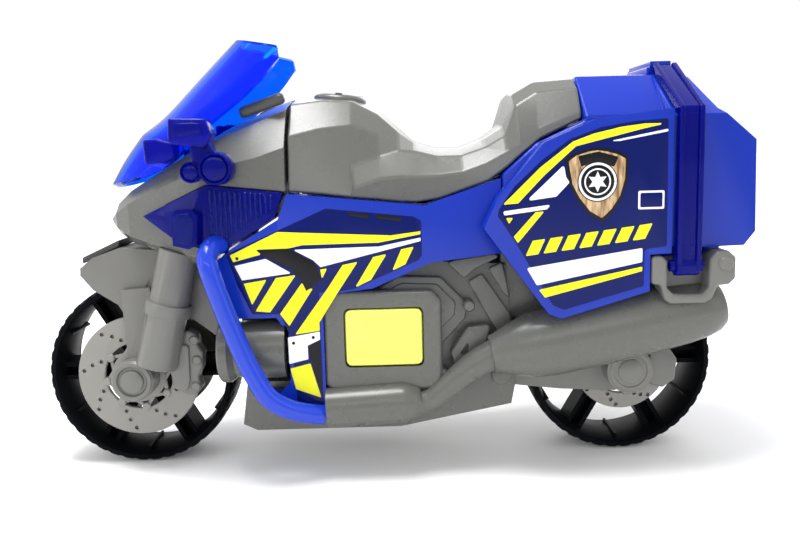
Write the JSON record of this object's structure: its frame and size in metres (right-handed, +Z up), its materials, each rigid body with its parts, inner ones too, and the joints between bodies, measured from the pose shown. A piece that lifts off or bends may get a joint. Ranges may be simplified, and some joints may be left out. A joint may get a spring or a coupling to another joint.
{
  "type": "toy touring motorcycle",
  "caption": "Moulded toy patrol motorcycle with free-rolling wheels, sound button, tinted windscreen, crash bars, latch straps and a rear case with a hinged lid.",
  "frame": {"origin": "middle of the footprint, on the ground plane under the wheels", "axes": "+X from the front wheel to the rear case, +Y to the toy's right side, +Z up"},
  "size_m": [0.15, 0.0532, 0.093],
  "materials": {
    "wheel_black": "satin moulded black",
    "steel": "drawn wire",
    "fork_grey": "satin moulded grey",
    "disc_grey": "satin moulded light grey",
    "body_grey": "satin moulded warm grey",
    "dark_grey": "satin moulded dark grey",
    "shell_blue": "glossy moulded blue",
    "bar_blue": "glossy moulded blue",
    "clear_blue": "clear tinted blue",
    "deep_clear_blue": "clear dark blue",
    "button_yellow": "satin translucent yellow",
    "cell_metal": "plated",
    "board_green": "lacquered board",
    "black_part": "moulded black",
    "led_clear": "clear epoxy"
  },
  "bodies": {
    "frame": {"front_axle": "steel", "rear_axle": "steel", "fork_left": "fork_grey", "fork_right": "fork_grey", "front_disc_left": "disc_grey", "front_disc_right": "disc_grey", "front_caliper_left": "fork_grey", "front_caliper_right": "fork_grey", "front_fender": "fork_grey", "fender_plate": "dark_grey", "front_cowl": "body_grey", "windscreen": "clear_blue", "lamp_pod_left": "clear_blue", "lamp_pod_right": "clear_blue", "side_lens_left": "deep_clear_blue", "side_lens_right": "deep_clear_blue", "grip_left": "dark_grey", "grip_right": "dark_grey", "tank_seat_cover": "body_grey", "tank_cap": "dark_grey", "fairing_left": "shell_blue", "fairing_right": "shell_blue", "crash_bar_left": "bar_blue", "crash_bar_right": "bar_blue", "horn_left": "body_grey", "horn_right": "body_grey", "chassis_left": "body_grey", "chassis_right": "body_grey", "engine_cover_left": "body_grey", "engine_cover_right": "body_grey", "exhaust_left": "body_grey", "exhaust_right": "body_grey", "swingarm_left": "fork_grey", "swingarm_right": "fork_grey", "rear_disc_left": "disc_grey", "rear_disc_right": "disc_grey", "rear_caliper_left": "fork_grey", "rear_caliper_right": "fork_grey", "luggage_core": "shell_blue", "saddle_panel_left": "shell_blue", "saddle_panel_right": "shell_blue", "hinge_bracket_left": "fork_grey", "hinge_bracket_right": "fork_grey", "latch_tab": "shell_blue", "lid_hinge_pin": "steel", "battery_cover": "body_grey", "battery_screw": "steel", "button_cells": "cell_metal", "circuit_board": "board_green", "tact_switch": "black_part", "speaker": "black_part", "led_lamp": "led_clear", "case_screws": "steel"},
    "front_wheel": {"front_wheel": "wheel_black"},
    "rear_wheel": {"rear_wheel": "wheel_black"},
    "button": {"sound_button": "button_yellow"},
    "strap_left": {"strap_left": "deep_clear_blue"},
    "strap_right": {"strap_right": "deep_clear_blue"},
    "case_lid": {"rear_case_lid": "shell_blue"}
  },
  "joints": [
    {"name": "front_wheel_spin", "type": "hinge", "parent": "frame", "child": "front_wheel", "pos_m": [-0.0544, 0, 0.0206], "axis": [0, 1, 0], "continuous": true},
    {"name": "rear_wheel_spin", "type": "hinge", "parent": "frame", "child": "rear_wheel", "pos_m": [0.052, 0, 0.0206], "axis": [0, 1, 0], "continuous": true},
    {"name": "button_press", "type": "slide", "parent": "frame", "child": "button", "axis": [0, 1, 0], "range_m": [0, 0.001], "stiffness_N_per_m": 400, "springref_m": -0.0004},
    {"name": "strap_left_swing", "type": "hinge", "parent": "frame", "child": "strap_left", "pos_m": [0.0603, -0.0246, 0.0442], "axis": [1, 0, 0], "range_deg": [0, 75]},
    {"name": "strap_right_swing", "type": "hinge", "parent": "frame", "child": "strap_right", "pos_m": [0.0603, 0.0246, 0.0442], "axis": [-1, 0, 0], "range_deg": [0, 75]},
    {"name": "case_lid_hinge", "type": "hinge", "parent": "frame", "child": "case_lid", "pos_m": [0.0685, 0, 0.0444], "axis": [0, 1, 0], "range_deg": [0, 75]}
  ]
}
